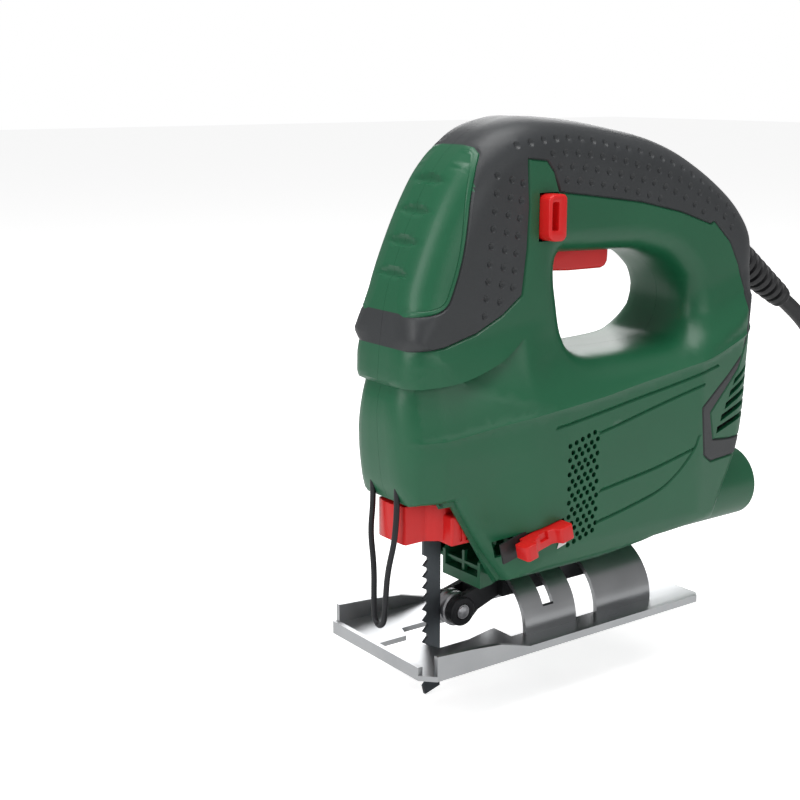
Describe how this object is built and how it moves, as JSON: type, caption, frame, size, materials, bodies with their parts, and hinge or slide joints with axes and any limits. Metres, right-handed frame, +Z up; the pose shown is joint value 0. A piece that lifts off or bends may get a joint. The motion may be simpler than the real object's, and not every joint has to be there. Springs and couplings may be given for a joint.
{
  "type": "jigsaw",
  "caption": "Corded jigsaw: two-part housing with soft grip, tilting pressed-steel base, reciprocating blade with guide roller, trigger, lock-on button and chip duct.",
  "frame": {"origin": "where the blade line crosses the sole of the base plate", "axes": "-X to the front (cutting direction), +Y to the right of the tool, +Z up along the plunger"},
  "size_m": [0.3872, 0.097, 0.2188],
  "materials": {
    "green_plastic": "satin",
    "soft_grip": "matt",
    "red_plastic": "semi-gloss",
    "bright_steel": "pressed, bright zinc",
    "black_steel": "blackened",
    "blade_steel": "dark oxide",
    "plain_steel": "ground",
    "aluminium": "die cast",
    "copper": "enamelled copper wire",
    "brass": "turned",
    "bronze": "sintered bronze",
    "black_plastic": "satin",
    "grey_plastic": "satin",
    "carbon": "carbon",
    "cord_rubber": "matt",
    "felt": "felt"
  },
  "bodies": {
    "housing": {"left_housing": "green_plastic", "right_housing": "green_plastic", "left_grip_skin": "soft_grip", "right_grip_skin": "soft_grip", "front_grip_pad": "green_plastic", "housing_screws": "plain_steel", "dust_duct": "green_plastic", "roller_carrier": "black_steel", "roller_pin": "plain_steel", "base_clamp_screw": "plain_steel", "clamp_nut": "plain_steel", "guard_wire": "black_steel", "field_core": "plain_steel", "field_coils": "copper", "front_bearing": "plain_steel", "rear_bearing": "plain_steel", "bearing_cushion": "soft_grip", "left_brush_holder": "brass", "right_brush_holder": "brass", "left_brush": "carbon", "right_brush": "carbon", "brush_springs": "plain_steel", "bearing_plate": "aluminium", "gear_axle": "plain_steel", "fan_baffle": "black_plastic", "switch_body": "grey_plastic", "capacitor": "grey_plastic", "supply_leads": "cord_rubber", "motor_leads": "cord_rubber", "cord_clamp": "black_plastic", "cord_clamp_screws": "plain_steel", "cord_boot": "cord_rubber", "cord": "cord_rubber", "cord_coil": "cord_rubber", "plug_body": "cord_rubber", "plug_pins": "brass", "trigger_spring": "plain_steel", "lock_spring": "plain_steel", "upper_bush": "bronze", "lower_bush": "bronze", "rod_seal": "felt"},
    "base": {"base_plate": "bright_steel"},
    "plunger": {"plunger_rod": "plain_steel", "yoke": "plain_steel", "slider_block": "plain_steel", "blade_clamp": "black_steel", "collar_spring": "plain_steel", "blade": "blade_steel"},
    "collar": {"release_collar": "red_plastic"},
    "gear": {"drive_gear": "plain_steel", "crank_pin": "plain_steel"},
    "armature": {"armature_shaft": "plain_steel", "armature_core": "plain_steel", "armature_windings": "copper", "commutator": "brass", "fan": "black_plastic"},
    "roller": {"guide_roller": "plain_steel"},
    "trigger": {"trigger": "red_plastic"},
    "lock": {"lock_button": "red_plastic"},
    "selector": {"blower_selector": "red_plastic"}
  },
  "joints": [
    {"name": "base_tilt", "type": "hinge", "parent": "housing", "child": "base", "pos_m": [0.06, 0, 0.0025], "axis": [1, 0, 0], "range_deg": [-45, 45]},
    {"name": "plunger_stroke", "type": "slide", "parent": "housing", "child": "plunger", "axis": [0, 0, 1], "range_m": [0, 0.02]},
    {"name": "collar_turn", "type": "hinge", "parent": "plunger", "child": "collar", "pos_m": [0, 0, 0.05], "axis": [0, 0, 1], "range_deg": [-40, 0], "stiffness_Nm_per_rad": 0.05, "springref_deg": 17.19},
    {"name": "gear_spin", "type": "hinge", "parent": "housing", "child": "gear", "pos_m": [0.018, 0, 0.101], "axis": [1, 0, 0], "continuous": true},
    {"name": "armature_spin", "type": "hinge", "parent": "housing", "child": "armature", "pos_m": [0.06, 0, 0.077], "axis": [1, 0, 0], "continuous": true},
    {"name": "roller_spin", "type": "hinge", "parent": "housing", "child": "roller", "pos_m": [0.01055, 0, 0.011], "axis": [0, 1, 0], "continuous": true},
    {"name": "trigger_pull", "type": "slide", "parent": "housing", "child": "trigger", "axis": [0, 0, 1], "range_m": [0, 0.005], "stiffness_N_per_m": 600, "springref_m": -0.003, "deforming": ["trigger_spring"]},
    {"name": "lock_press", "type": "slide", "parent": "housing", "child": "lock", "axis": [0, 1, 0], "range_m": [0, 0.003], "stiffness_N_per_m": 500, "springref_m": -0.002, "deforming": ["lock_spring"]},
    {"name": "blower_slide", "type": "slide", "parent": "housing", "child": "selector", "axis": [-0.9744, 0, -0.225], "range_m": [0, 0.008]}
  ],
  "couplings": [
    {"joint": "armature_spin", "follows": "gear_spin", "ratio": -6.5}
  ]
}
